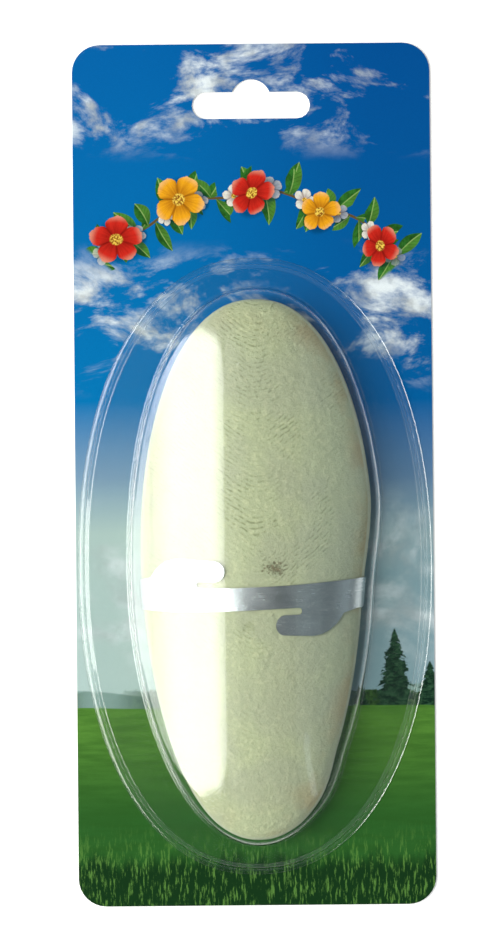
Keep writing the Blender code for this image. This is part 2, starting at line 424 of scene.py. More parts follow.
def draw_sky(wiring, settings, vector, x, y):
    height = (y - HORIZON_Y) / (CARD_LENGTH / 2 - HORIZON_Y)
    deep = tuple(channel * 0.92 for channel in settings.sky)
    middle = tuple(0.55 * low + 0.45 * high for low, high in zip(settings.sky, settings.haze))
    light = tuple(0.95 * low + 0.05 * high for low, high in zip(settings.sky, (0.0, 1.0, 1.0)))
    haze = settings.haze
    stops = ((0.0, haze), (0.26, haze), (0.345, middle), (0.46, light), (1.0, deep))
    sky = wiring.tones(height, stops)
    # The sky is darker towards the card's right; this is partly painted shade, for the light
    # falling off away from the lamps on the left.
    rightward_dimming_and_shade = x.ramp(-34.0, 38.0, 0.0, 0.8)
    sky = wiring.mix(rightward_dimming_and_shade, sky, wiring.dimmed(sky, (0.44, 0.55, 0.70)))
    billow = wiring.grain(wiring.stretched(vector, (1.0, 1.7, 1.0)), 26.0, 7.0, 0.62, 0.4)
    upper = y.ramp(84.0, 96.0)
    lower = y.ramp(20.0, 34.0) * y.ramp(64.0, 50.0)
    low_bank = y.ramp(-58.0, -40.0) * y.ramp(0.0, -22.0)
    cover = billow.ramp(0.50, 0.66) * upper.most(lower) + billow.ramp(0.42, 0.7) * low_bank * 0.7
    lining = wiring.grain(vector, 9.0, 4.0, 0.6).ramp(0.36, 0.62)
    shaded = tuple(0.55 * channel for channel in settings.cloud)
    cloud = wiring.mix(lining, shaded, settings.cloud)
    return wiring.mix(cover, sky, cloud)


def draw_hedge(wiring, vector, x, top, size, shift, tallness=0.55):
    """Height of a row of round bushes or trees over top, with ragged leafy edges."""
    settings = {"voronoi_dimensions": "1D"}
    sockets = {"W": x / size + shift, "Scale": 1.0, "Randomness": 0.9}
    offset = wiring.number("ShaderNodeTexVoronoi", settings, sockets)
    crown = (1.0 - (offset * 1.5).least(1.0) ** 2.0) ** 0.5
    ragged = wiring.grain(vector, 1.4, 4.0, 0.7) - 0.5
    return crown * (size * tallness) + ragged * 3.2 + top


def draw_conifer(wiring, vector, x, y, middle, height, half_width):
    """Where a ragged fir stands, with its foot a little below the horizon."""
    portion = (y - (HORIZON_Y - 4.0)) / height
    tier = (portion * 7.0 + abs(x - middle) * 0.12).apply("FRACT")
    needles = wiring.grain(wiring.stretched(vector, (1.0, 1.6, 1.0)), 1.5, 4.0, 0.7) - 0.5
    ragged = needles * half_width * (1.0 - portion).ramp(0.0, 0.4)
    reach = (1.0 - portion).most(0.0) ** 0.85 * half_width * (1.1 - tier * 0.35)
    rooted = portion.ramp(0.0, 0.03) * portion.ramp(1.0, 0.97)
    return (reach + ragged - abs(x - middle)).ramp(-0.25, 0.25) * rooted


def draw_land(wiring, settings, vector, x, y, sky):
    far = wiring.grain(wiring.vector(x / 34.0, 3.1), 1.0, 1.0) * 13.0 + (HORIZON_Y - 3.5)
    far_tone = wiring.mix(0.55, settings.haze, tint(62, 110, 96))
    land = wiring.mix((far - y).ramp(-0.3, 0.3), sky, far_tone)
    foliage = wiring.grain(vector, 1.1, 4.0, 0.7).ramp(0.35, 0.65)
    hedge_tone = wiring.mix(foliage, tint(22, 52, 26), tint(62, 96, 50))
    hedge = draw_hedge(wiring, vector, x, HORIZON_Y - 1.0, 9.0, 4.2)
    presence = wiring.grain(wiring.vector(x / 30.0, 8.7), 1.0, 1.0).ramp(0.42, 0.56)
    land = wiring.mix((hedge - y).ramp(-0.2, 0.2) * presence, land, hedge_tone)
    needles = wiring.grain(wiring.stretched(vector, (1.0, 1.8, 1.0)), 1.3, 5.0, 0.75)
    needle_tone = wiring.mix(needles.ramp(0.4, 0.66), tint(14, 40, 30), tint(52, 88, 62))
    for fir in FIRS:
        land = wiring.mix(draw_conifer(wiring, vector, x, y, *fir), land, needle_tone)
    depth = HORIZON_Y - y
    field = wiring.mix(depth.ramp(0.0, 34.0), settings.meadow, settings.grass)
    streak = wiring.grain(wiring.stretched(vector, (0.16, 1.3, 1.0)), 2.2, 4.0, 0.6)
    field = wiring.mix(streak.ramp(0.3, 0.7, 0.0, 0.5), field, tint(40, 84, 30))
    blade = wiring.grain(wiring.stretched(vector, (2.6, 0.42, 1.0)), 1.6, 5.0, 0.7)
    tuft = wiring.grain(wiring.vector(x / 4.0, y / 22.0, 2.0), 1.0, 3.0, 0.6)
    shade = (tuft * 13.0 - y).ramp(108.0, 113.5)
    field = wiring.mix(shade, field, tint(20, 54, 24))
    lit = blade.ramp(0.52, 0.62) * y.ramp(-92.0, -108.0) * 0.75
    field = wiring.mix(lit, field, tint(98, 146, 66))
    swell = wiring.grain(wiring.vector(x / 40.0, 5.5), 1.0, 1.0) * 3.0 + (HORIZON_Y - 2.5)
    return wiring.mix((swell - y).ramp(-0.15, 0.15), land, field)


def draw_leaves(wiring, settings, vector, turn, out, ground, step, shift, lean, size):
    """Curved leaves that grow by turns from both sides of the garland's stem."""
    place = (turn + shift) / step
    index = place.apply("ROUND")
    vary = (index * 7.31 + shift * 40.0).apply("SINE")
    side = 1.0 - (index * 0.5).apply("FRACT") * 4.0
    along = (place - index) * (step * GARLAND_RADIUS)
    outward = out * side
    tilt = vary * 0.35 + lean
    cosine, sine = tilt.apply("COSINE"), tilt.apply("SINE")
    portion = (outward * cosine + along * sine) / (vary * 0.18 * size + size)
    across = along * cosine - outward * sine + portion * (1.0 - portion) * vary * 1.6
    width = portion * (1.0 - portion) * (0.95 * size)
    leaf = (width - abs(across)).ramp(0.0, 0.25) * abs(turn).ramp(0.86, 0.84)
    shade = wiring.grain(vector, 2.4, 3.0, 0.6).ramp(0.3, 0.7)
    dark = tuple(0.35 * channel for channel in settings.leaf)
    tone = wiring.mix(shade, dark, settings.leaf)
    tone = wiring.mix(across.ramp(-0.2, 0.2, 0.0, 0.4), tone, tint(104, 158, 62))
    ribs = (portion * 44.0 - abs(across) * 5.0).apply("SINE").ramp(0.6, 1.0, 0.0, 0.35)
    tone = wiring.mix(ribs, tone, dark)
    tone = wiring.mix(abs(across).ramp(0.2, 0.08) * 0.7, tone, tint(150, 182, 104))
    tone = wiring.mix(portion.ramp(0.45, 0.0, 0.0, 0.55), tone, dark)
    return wiring.mix(leaf, ground, tone)


def draw_blossoms(wiring, vector, turn, out, ground, step, shift, size, hues):
    """Five-petalled blossoms of two hues by turns, each with its own turn, size and soft shadow."""
    place = (turn + shift) / step
    index = place.apply("ROUND")
    vary = (index * 5.17 + shift * 30.0).apply("SINE")
    along = (place - index) * (step * GARLAND_RADIUS)
    rise = out - vary * 0.22 * size
    grown = vary * 0.12 * size + size
    kept = abs(index * step - shift).ramp(0.82, 0.80)
    shadow = (grown * 1.05 - hypot(rise + 0.15 * size, along - 0.1 * size)).ramp(0.0, 0.3 * size)
    drawn = wiring.mix(shadow * kept * 0.5, ground, (0.0, 0.02, 0.03))
    spread = hypot(rise, along)
    spoke = rise.maths("ARCTAN2", rise, along) + vary * 2.0
    lobes = abs((spoke * 2.5).apply("COSINE"))
    ruffle = wiring.grain(vector, 0.28 * size, 3.0, 0.6) - 0.5
    edge = (lobes ** 0.5 * 0.42 + 0.58 + ruffle * 0.22) * grown
    petals = (edge - spread).ramp(0.0, 0.25) * kept
    hue = wiring.mix((index * 0.5).apply("FRACT") * 2.0, *hues)
    far = spread / grown
    hue = wiring.mix(far.ramp(0.75, 0.25, 0.0, 0.6), hue, wiring.dimmed(hue, (0.45, 0.3, 0.3)))
    streaks = wiring.grain(wiring.vector(spoke * 7.0, far * 1.2, vary), 1.0, 3.0, 0.6)
    streaks = streaks.ramp(0.4, 0.65, 0.0, 0.4)
    hue = wiring.mix(streaks, hue, wiring.dimmed(hue, (0.6, 0.45, 0.45)))
    gaps = lobes.ramp(0.45, 0.0, 0.0, 0.65)
    hue = wiring.mix(gaps, hue, wiring.dimmed(hue, (0.35, 0.25, 0.25)))
    hue = wiring.mix(far.ramp(0.7, 1.05, 0.0, 0.35) * lobes, hue, tint(255, 226, 190))
    seed = wiring.grain(vector, 0.5, 2.0, 0.6).ramp(0.4, 0.6)
    heart = wiring.mix(seed, tint(140, 84, 24), tint(244, 206, 84))
    return wiring.mix(petals, drawn, wiring.mix(far.ramp(0.27, 0.2), hue, heart))


def draw_garland(wiring, settings, vector, x, y, ground):
    """An arc of leaves and blossoms above the blister."""
    rise = y - GARLAND_CENTRE_Y
    turn = x.maths("ARCTAN2", x, rise)
    out = hypot(x, rise) - GARLAND_RADIUS - (turn * 14.0).apply("SINE") * 0.8
    stem = abs(out).ramp(0.45, 0.25) * abs(turn).ramp(0.84, 0.82)
    drawn = wiring.mix(stem, ground, tint(96, 78, 44))
    for row in GARLAND_LEAVES:
        drawn = draw_leaves(wiring, settings, vector, turn, out, drawn, *row)
    pale = (tint(226, 226, 216), tint(150, 160, 172))
    drawn = draw_blossoms(wiring, vector, turn, out, drawn, 0.18, 0.09, 3.0, pale)
    bright = (settings.blossom, settings.second_blossom)
    return draw_blossoms(wiring, vector, turn, out, drawn, 0.36, 0.0, 6.2, bright)


def card_finish(settings):
    material, wiring = new_finish("printed_board")
    vector, x, y, z = wiring.place()
    picture = draw_sky(wiring, settings, vector, x, y)
    picture = draw_land(wiring, settings, vector, x, y, picture)
    picture = draw_garland(wiring, settings, vector, x, y, picture)
    speck = wiring.grain(vector, 0.35, 2.0, 0.7)
    picture = wiring.mix(speck.ramp(0.3, 0.7, 0.0, 0.06), picture, (0.0, 0.0, 0.0))
    fibre = wiring.grain(wiring.stretched(vector, (0.5, 2.0, 1.0)), 0.9, 5.0, 0.7)
    dark_board = tuple(0.78 * channel for channel in settings.board)
    board = wiring.mix(fibre.ramp(0.3, 0.7), dark_board, settings.board)
    paper = z.ramp(0.40, 0.46) * z.ramp(CARD_FRONT_Z - 0.005, CARD_FRONT_Z - 0.015)
    board = wiring.mix(paper, board, tint(236, 238, 238))
    front = z.ramp(CARD_FRONT_Z - 0.015, CARD_FRONT_Z - 0.005)
    rough = front * (settings.gloss - 0.75) + 0.75
    height = wiring.grain(vector, 1.6, 3.0, 0.6) * front + fibre * (1.0 - front) * 2.0
    sockets = {
        "Base Color": wiring.mix(front, board, picture),
        "Roughness": rough,
        "Normal": wiring.bump(height, 0.00001),
        "IOR": 1.38,
    }
    wiring.principled(sockets)
    return material


# Bone


def bone_reach(along):
    return np.where(along > 0, BONE_REACH_UP, BONE_REACH_DOWN)


def bone_room(along):
    """1 at the widest place, falling to 0 at both tips."""
    return np.maximum(0.0, 1 - np.abs(along) ** np.where(along > 0, *BONE_TIP_POWERS))


def bone_section(along, turn, outward=0.0):
    """x and z round the section, with a quarter turn at the front, moved outward from the skin."""
    rise = np.abs(np.sin(turn))
    front = np.sin(turn) >= 0
    bulge = np.where(front, BONE_FRONT[0], -BONE_BACK[0])
    power = np.where(front, BONE_FRONT[1], BONE_BACK[1])
    width = BONE_HALF_WIDTH * bone_room(along) ** BONE_OUTLINE_ROOT
    height = bulge * bone_room(along) ** BONE_THICKNESS_ROOT
    normal_x = np.abs(height) * power * np.maximum(rise, 1e-9) ** (power - 1) * np.cos(turn)
    normal_z = width * np.sin(turn)
    scale = outward / np.maximum(np.hypot(normal_x, normal_z), 1e-9)
    x = width * np.cos(turn) + normal_x * scale
    return x, BONE_EDGE_Z + height * rise**power + normal_z * scale


def even_steps(distance, values, count):
    """Values at equal steps of a distance that grows along them."""
    return np.interp(np.linspace(distance[0], distance[-1], count + 1), distance, values)


def travelled(*tracks):
    steps = sum(np.diff(track) ** 2 for track in tracks) ** 0.5
    return np.concatenate([[0.0], np.cumsum(steps)])


def bone_rings():
    """Places along the bone, evenly spaced along its outline, without the two tips."""
    along = np.sin(np.linspace(-math.pi / 2, math.pi / 2, 6001))
    width = BONE_HALF_WIDTH * bone_room(along) ** BONE_OUTLINE_ROOT
    return even_steps(travelled(width, along * bone_reach(along)), along, BONE_RINGS)[1:-1]


def bone_turns():
    """Angles once round the section, closer together at the rims."""
    turns = np.linspace(0.0, math.pi, 2001)
    halves = []
    for side, count in ((1, BONE_FRONT_STEPS), (-1, BONE_BACK_STEPS)):
        x, z = bone_section(np.zeros_like(turns), side * turns)
        distance = travelled(x, z) + 6.0 * turns
        halves.append(side * even_steps(distance, turns, count))
    return np.concatenate([halves[0], halves[1][-2:0:-1]])


def rim_inward(x, along):
    """About how far a point of the front lies inside the bone's outline."""
    power = np.where(along > 0, *BONE_TIP_POWERS)
    across = np.abs(x) / BONE_HALF_WIDTH
    spread = across ** (1 / BONE_OUTLINE_ROOT) + np.abs(along) ** power
    slope_x = across ** (1 / BONE_OUTLINE_ROOT - 1) / BONE_OUTLINE_ROOT / BONE_HALF_WIDTH
    slope_y = power * np.abs(along) ** (power - 1) / bone_reach(along)
    return (1 - spread) / np.maximum(np.hypot(slope_x, slope_y), 0.001)


def growth_lines(x, y):
    """The growth lines' phase: each is a soft V whose arms rise on both sides of the middle."""
    return y - (hypot(x, LINE_BEND) - LINE_BEND) * LINE_RISE


def bone_relief(x, y, points, settings):
    """Height of the chalky front's fine relief, in millimetres."""
    wander = noise_over(points, 7.0, 3.7) + 0.35 * noise_over(points, 2.4, 31.0)
    phase = (growth_lines(x, y) + 1.1 * wander) / (settings.line_spacing / MM)
    broken = eased(noise_over(points, 1.5, 11.3), -0.3, 0.35)
    patches = eased(noise_over(points, 11.0, 5.1), -0.2, 0.35)
    upper = eased(y, -62.0, -22.0)
    lines = np.sin(2 * math.pi * phase) * broken * (0.3 + 0.7 * patches) * (0.25 + 0.75 * upper)
    pits = noise_over(points, 0.8, 21.7) * 0.6 + noise_over(points, 1.9, 17.2) * 0.7
    height = lines * settings.line_depth / MM * 0.5 + pits * settings.pit_depth / MM * 0.5
    height += 0.12 * noise_over(points, 13.0, 1.9) + 0.05 * noise_over(points, 4.0, 14.2)
    streaks = noise_over(points * np.array([1.0, 0.12, 0.0]), 1.7, 8.8)
    height += 0.03 * streaks * (1 - upper)
    height += 0.06 * np.exp(-((x / 1.3) ** 2)) * eased(y, -70.0, -50.0)
    crease = np.abs((y + 29.0) + 0.45 * (x - 1.3) + 0.5 * noise_over(points, 2.0, 2.2))
    height -= 0.22 * np.exp(-((crease / 0.4) ** 2)) * np.exp(-(((x - 1.3) / 2.6) ** 4))
    for mark_x, mark_y, size, depth in BONE_MARKS:
        away = np.hypot(x - mark_x, y - mark_y) / size
        crumbs = noise_over(points, 0.8, 6.4)
        height += depth * np.exp(-(away**4)) * (crumbs - 0.3)
    clip_side = y - CLIP_Y - x**2 / (2 * CLIP_DRIFT_RADIUS)
    along_tab = eased(np.abs(x), 4.6, 5.6) * (1 - eased(np.abs(x), 20.0, 23.0))
    under_tab = (x * clip_side < 0) * along_tab
    pressed = eased(4.1 + 6.3 * under_tab - np.abs(clip_side), 0.0, 0.7)
    return height * (1 - pressed) - 0.15 * pressed


def back_relief(points):
    """Fine grains on the horny back plate."""
    return 0.05 * noise_over(points, 0.9, 9.9) + 0.10 * noise_over(points, 6.0, 4.4)


def bone_finish(settings):
    material, wiring = new_finish("chalky_bone")
    vector, x, y, z = wiring.place()
    x = x - BONE_CENTRE_X
    drawn_in = y.ramp(*LOWER_RIGHT_TOP) * y.ramp(*LOWER_RIGHT_FOOT) * x.ramp(-0.1, 0.1)
    x = x / (1.0 - drawn_in * LOWER_RIGHT)
    upper_half = y.ramp(BONE_WIDEST_Y - 0.1, BONE_WIDEST_Y + 0.1)
    reach = upper_half * (BONE_REACH_UP - BONE_REACH_DOWN) + BONE_REACH_DOWN
    endward = abs((y - BONE_WIDEST_Y) / reach)
    mean_power = sum(BONE_TIP_POWERS) / 2
    spread = abs(x / BONE_HALF_WIDTH) ** (1 / BONE_OUTLINE_ROOT) + endward**mean_power
    rim_start = endward * endward * 0.04 + 0.93
    rim = (spread - rim_start).ramp(0.0, 0.03)
    wander = wiring.grain(vector, 7.0, 1.0) * 2.2 + wiring.grain(vector, 2.4, 1.0) * 0.8
    turned = (growth_lines(x, y) + wander) * (2 * math.pi * MM / settings.line_spacing)
    lines = turned.apply("SINE") * 0.5 + 0.5
    broken = wiring.grain(vector, 1.2, 3.0, 0.6)
    patches = wiring.grain(vector, 10.0, 2.0, 0.5).ramp(0.42, 0.6, 0.15, 1.0)
    fine = wiring.grain(vector, 0.45, 4.0, 0.7)
    groove = lines.ramp(0.5, 0.05) * broken.ramp(0.44, 0.58) * patches
    groove = groove * y.ramp(-62.0, -24.0, 0.2, 0.8)
    speckle = fine.ramp(0.56, 0.72) * 0.4
    tone = wiring.mix(groove.most(speckle), settings.chalk, settings.groove)
    mottle = wiring.grain(vector, 1.3, 4.0, 0.7)
    tone = wiring.mix(mottle.ramp(0.5, 0.64, 0.0, 0.65), tone, tint(208, 212, 170))
    cast = wiring.grain(vector, 17.0, 2.0, 0.5)
    tone = wiring.mix(cast.ramp(0.4, 0.62, 0.0, 0.35), tone, tint(166, 168, 150))
    edge = spread.ramp(0.62, 0.95) * (1.0 - rim)
    edge = edge * wiring.grain(vector, 11.0, 3.0).ramp(0.38, 0.62)
    # Painted shade: the bone is greyed towards its right side, where the light from the left falls
    # off.
    tone = wiring.mix(x.ramp(6.0, 26.0, 0.0, 0.42), tone, tint(150, 164, 146))
    tone = wiring.mix(edge * x.ramp(-4.0, 14.0, 0.1, 0.45), tone, settings.stain)
    tone = wiring.mix(rim * 0.7, tone, settings.rim)
    crumbs = wiring.grain(vector, 0.9, 4.0, 0.75) - 0.5
    brown = (hypot((x - 5.4) * 0.7, y + 25.0) + crumbs * 12.0).ramp(1.5, 0.3)
    tone = wiring.mix(brown * 0.65, tone, settings.blemish)
    crumbled = (hypot(x + 2.2, y + 40.6) + crumbs * 8.0).ramp(1.9, 0.8)
    tone = wiring.mix(crumbled * 0.4, tone, settings.groove)
    back = z.ramp(BONE_EDGE_Z - 0.2, BONE_EDGE_Z - 1.0)
    grains = wiring.grain(vector, 1.0, 3.0, 0.6).ramp(0.35, 0.65)
    plate = wiring.mix(grains, tint(202, 192, 160), tint(226, 220, 196))
    tone = wiring.mix(back, tone, plate)
    height = fine * 0.8 + broken * 0.9 + mottle * 0.8 - groove * 0.5 - brown * 0.8
    sockets = {
        "Base Color": tone,
        "Roughness": 0.78 - rim * 0.25,
        "Normal": wiring.bump(height, 0.00026),
    }
    wiring.principled(sockets)
    return material


def build_bone(settings):
    along = bone_rings()[:, None]
    turn = bone_turns()[None, :]
    x, z = bone_section(along, turn)
    y = BONE_WIDEST_Y + along * bone_reach(along) + 0.0 * turn
    front = np.sin(turn) > 0
    step, width, soft = BONE_RIM
    inward = rim_inward(x, along)
    z = z - np.where(front, step * eased(-inward, -width - 1, -width) * eased(inward, 0, soft), 0.0)
    shape = np.stack([x, y, z], axis=2)
    ahead = np.gradient(shape, axis=0)
    beside = np.roll(shape, -1, axis=1) - np.roll(shape, 1, axis=1)
    normal = np.cross(beside, ahead)
    normal /= np.maximum(np.linalg.norm(normal, axis=2, keepdims=True), 1e-9)
    middle = np.array([0.0, BONE_WIDEST_Y, BONE_EDGE_Z])
    normal *= np.sign(np.sum(normal * (shape - middle), axis=2, keepdims=True))
    points = shape.reshape(-1, 3)
    relief = bone_relief(points[:, 0], points[:, 1], points, settings)
    faded = (eased(inward, 1.6, 3.6) * front + 0 * along).reshape(-1)
    plain = (eased(-np.sin(turn), 0.1, 0.4) + 0 * along).reshape(-1)
    height = relief * faded + back_relief(points) * plain
    points = points + normal.reshape(-1, 3) * height[:, None]
    points[:, 0] = lower_right(points[:, 0], points[:, 1])
    rows, columns = shape.shape[:2]
    tips = [(0.0, BONE_WIDEST_Y + end, BONE_EDGE_Z) for end in (-BONE_REACH_DOWN, BONE_REACH_UP)]
    points = np.vstack([points, tips]) + np.array([BONE_CENTRE_X, 0.0, 0.0])
    faces = grid_faces(rows, columns)
    faces += fan_faces(0, columns, rows * columns)
    faces += fan_faces((rows - 1) * columns, columns, rows * columns + 1)
    return add_piece("cuttlebone_carved", points, faces, bone_finish(settings))


# Clip


def arc(centre_x, centre_y, radius, start, end, steps):
    angles = [math.radians(start + (end - start) * step / steps) for step in range(steps + 1)]
    return [(centre_x + radius * math.cos(a), centre_y + radius * math.sin(a)) for a in angles]


def blank_outline():
    """The flat blank. Its left half is its right half turned by half a turn."""
    notch = arc(13.85, -3.6, 0.9, 90, -90, 14)
    tip = arc(9.8, -7.2, 2.7, 90, 270, 28)
    heel = arc(18.5, 0.6, 11.0, -97, -30, 24)
    inner = CLIP_END_HALF_WIDTH - CLIP_END_RADIUS
    end_x = CLIP_END_REACH - CLIP_END_RADIUS
    end = arc(end_x, -inner, CLIP_END_RADIUS, -90, 0, 8)
    end += arc(end_x, inner, CLIP_END_RADIUS, 0, 90, 8)
    right = [*CLIP_NOTCH_EDGE, *notch, *tip, *heel, (CLIP_SHOULDER_REACH, -CLIP_END_HALF_WIDTH)]
    right += [*end, (CLIP_SHOULDER_REACH, CLIP_END_HALF_WIDTH), *CLIP_PLAIN_EDGE]
    return right + [(-x, -y) for x, y in right]


def clip_finish(settings):
    material, wiring = new_finish("brushed_strip")
    vector, x = wiring.place()[:2]
    brushed = wiring.grain(wiring.stretched(vector, (0.18, 3.2, 0.18)), 0.6, 4.0, 0.65)
    smear = wiring.grain(vector, 6.0, 3.0, 0.55)
    scratch = wiring.grain(wiring.stretched(vector, (0.10, 7.0, 0.10)), 1.0).ramp(0.66, 0.72)
    worn = tuple(0.82 * channel for channel in settings.metal)
    shine = brushed.ramp(0.3, 0.7) * 0.6 + smear.ramp(0.35, 0.65) * 0.4
    tone = wiring.mix(shine, worn, settings.metal)
    # Painted shade: the clip's right end, where it bends down, is darkened to stand in for a dark
    # reflection there.
    tone = wiring.mix(x.ramp(29.6, 30.8, 0.0, 0.6), tone, (0.0, 0.0, 0.0))
    rough = settings.brushing + (smear - 0.5) * 0.12 + (brushed - 0.5) * 0.08 - scratch * 0.04
    sockets = {
        "Base Color": tone,
        "Metallic": 1.0,
        "Roughness": rough,
        "Normal": wiring.bump(brushed * 0.7 + smear * 2.5 + scratch, 0.00002),
    }
    wiring.principled(sockets)
    return material


def cut_into_strips(mesh, reach, step, direction):
    """Cuts the flat blank along parallel lines, so that it can bend."""
    lines = int(reach / step)
    for line in range(-lines, lines + 1):
        everything = mesh.verts[:] + mesh.edges[:] + mesh.faces[:]
        place = [line * step * axis for axis in direction]
        bmesh.ops.bisect_plane(mesh, geom=everything, plane_co=place, plane_no=direction)


def build_clip(settings):
    thickness = settings.thickness / MM
    along = (CLIP_Y - BONE_WIDEST_Y) / BONE_REACH_DOWN
    turns = np.linspace(math.pi / 2, -math.pi / 2, 2001)
    distance = travelled(*bone_section(np.full_like(turns, along), turns, CLIP_GAP + thickness / 2))
    mesh = bmesh.new()
    mesh.faces.new([mesh.verts.new((x, y, 0)) for x, y in blank_outline()])
    cut_into_strips(mesh, CLIP_END_REACH, CLIP_BEND_STEP, (1, 0, 0))
    cut_into_strips(mesh, CLIP_TAB_REACH, CLIP_BEND_STEP, (0, 1, 0))
    bmesh.ops.remove_doubles(mesh, verts=mesh.verts[:], dist=0.01)
    flat = np.array([vertex.co[:2] for vertex in mesh.verts])
    y = CLIP_Y + flat[:, 1] + flat[:, 0] ** 2 / (2 * CLIP_DRIFT_RADIUS)
    reach = flat[:, 0] + CLIP_OFFSET
    turn = np.interp(np.abs(reach), distance, turns)
    seat = CLIP_GAP - CLIP_SEAT[0] * np.exp(-((reach / CLIP_SEAT[1]) ** 2))
    seat -= CLIP_LEAN[0] * reach * np.exp(-((reach / CLIP_LEAN[1]) ** 2))
    sheets = []
    for outward in (seat + thickness, seat):
        x, z = bone_section((y - BONE_WIDEST_Y) / BONE_REACH_DOWN, turn, outward)
        x = BONE_CENTRE_X + lower_right(np.copysign(x, reach), y)
        sheets.append(np.stack([x, y, z], axis=1))
    mesh.verts.index_update()
    count = len(mesh.verts)
    outer = [[vertex.index for vertex in face.verts] for face in mesh.faces]
    inner = [[index + count for index in reversed(face)] for face in outer]
    edges = [[vertex.index for vertex in edge.verts] for edge in mesh.edges if edge.is_boundary]
    rim = [(first, second, second + count, first + count) for first, second in edges]
    mesh.free()
    strip = add_piece("cage_clip", np.vstack(sheets), outer + inner + rim, clip_finish(settings))
    strip.data.set_sharp_from_angle(angle=math.radians(50))
    return strip


# Blister


def oval_ring(half_width, half_length, z, low_power=BLISTER_OVAL_POWER):
    turn = np.linspace(0.0, 2 * math.pi, OVAL_SEGMENTS, endpoint=False)
    power = 2 / np.where(np.sin(turn) < 0, low_power, BLISTER_OVAL_POWER)
    x = half_width * np.sign(np.cos(turn)) * np.abs(np.cos(turn)) ** power
    y = half_length * np.sign(np.sin(turn)) * np.abs(np.sin(turn)) ** power
    return np.stack([x, BLISTER_CENTRE_Y + y, np.full_like(x, z)], axis=1)


def vault_oval(half_width, half_length, z):
    """A ring of the vault's shape, which is centred on the bone."""
    ring = oval_ring(half_width, half_length, z, VAULT_LOW_POWER)
    ring[:, 0] = BONE_CENTRE_X + lower_right(ring[:, 0], ring[:, 1])
    return ring


def foot_ring(inset, z):
    return oval_ring(FOOT_HALVES[0] - inset, FOOT_HALVES[1] - inset, z)


def vault_ring(inset, z):
    return vault_oval(VAULT_HALVES[0] - inset, VAULT_HALVES[1] - inset, z)


def bow(start, corner, end, steps):
    """Points on a soft corner from start to end, pulled towards corner, without its start."""
    points = []
    for t in (step / steps for step in range(1, steps + 1)):
        shares = ((1 - t) ** 2, 2 * t * (1 - t), t * t)
        tracks = zip(start, corner, end)
        points.append(tuple(sum(s * place for s, place in zip(shares, track)) for track in tracks))
    return points


def straight(start, end, steps):
    return [
        tuple(a + (b - a) * step / steps for a, b in zip(start, end))
        for step in range(1, steps + 1)
    ]


def foot_profile():
    """Distance inside the foot's outline and height, from the flange to the skirt's start."""
    return [
        (-1.0, FLANGE_TOP_Z),
        (-0.65, FLANGE_TOP_Z),
        *bow((-0.65, FLANGE_TOP_Z), (0.07, FLANGE_TOP_Z), (0.45, 2.0), 9),
        *straight((0.45, 2.0), (0.66, 2.4), 2),
        *bow((0.66, 2.4), (0.72, 2.51), (0.81, 2.6), 4),
        *straight((0.81, 2.6), (1.7, 3.4), 4),
        *bow((1.7, 3.4), (1.81, FOOT_TOP_Z), (FOOT_WIDTH, FOOT_TOP_Z), 5),
    ]


def blister_rings():
    rings = [foot_ring(inset, z) for inset, z in foot_profile()]
    skirt_end = (-0.3, SKIRT_TOP_Z - 0.02)
    low, high = foot_ring(FOOT_WIDTH, FOOT_TOP_Z), vault_ring(*skirt_end)
    rings += [low + (high - low) * portion for portion in SKIRT_PORTIONS]
    base = bow(skirt_end, (-0.03, SKIRT_TOP_Z), (0.0, WALL_BASE_Z), 6)
    wall = straight((0.0, WALL_BASE_Z), (SHOULDER_INSET, SHOULDER_Z), 8)
    rings += [vault_ring(inset, z) for inset, z in base + wall]
    edge = oval_ring(1.0, 1.0, 0.0, VAULT_LOW_POWER) - np.array([0.0, BLISTER_CENTRE_Y, 0.0])
    roundness = np.sum(edge**2, axis=1)
    width = (CROWN_INSET - SHOULDER_INSET) / (1 - math.cos(SHOULDER_TURN))
    height = CROWN_TOP_Z - CROWN_RISE - SHOULDER_Z
    for step in range(1, SHOULDER_STEPS + 1):
        turn = SHOULDER_TURN * step / SHOULDER_STEPS
        inset = SHOULDER_INSET + width * (1 - math.cos(turn))
        ring = vault_ring(inset, SHOULDER_Z + height * math.sin(turn) / math.sin(SHOULDER_TURN))
        ring[:, 2] -= CROWN_RISE * (roundness - 1) * step / SHOULDER_STEPS
        rings.append(ring)
    for step in range(1, CROWN_STEPS):
        portion = 1 - step / CROWN_STEPS
        ring = vault_oval(*((half - CROWN_INSET) * portion for half in VAULT_HALVES), CROWN_TOP_Z)
        ring[:, 2] -= CROWN_RISE * portion**2 * roundness
        rings.append(ring)
    return rings


def blister_finish(settings):
    material, wiring = new_finish("clear_film")
    vector = wiring.place()[0]
    slow = wiring.grain(vector, 16.0, 2.0, 0.5)
    quick = wiring.grain(vector, 3.0, 3.0, 0.6)
    scuff = wiring.grain(wiring.stretched(vector, (1.0, 0.3, 1.0)), 2.0, 5.0, 0.7)
    rough = settings.polish + scuff.ramp(0.56, 0.72) * 0.05
    spots = {"Vector": vector, "Scale": 1 / 20.0, "Randomness": 1.0}
    dent = wiring.number("ShaderNodeTexVoronoi", None, spots).ramp(0.07, 0.0)
    sockets = {
        "Base Color": (*settings.film, 1.0),
        "Roughness": rough,
        "IOR": settings.refraction,
        "Transmission Weight": 1.0,
        "Normal": wiring.bump(slow + quick * 0.12 + dent * 2.0, settings.ripple),
    }
    film = wiring.node("ShaderNodeBsdfPrincipled", None, sockets).outputs[0]
    clear = wiring.node("ShaderNodeBsdfTransparent", None, {"Color": (0.96, 0.97, 0.965, 1.0)})
    path = wiring.node("ShaderNodeLightPath")
    # The studio light passes the film unbent, and reaches the bone once.
    for kind in ("Is Diffuse Ray", "Is Shadow Ray"):
        sockets = {"Fac": path.outputs[kind], "Shader": film, "Shader_001": clear.outputs[0]}
        film = wiring.node("ShaderNodeMixShader", None, sockets).outputs[0]
    wiring.surface(film)
    return material


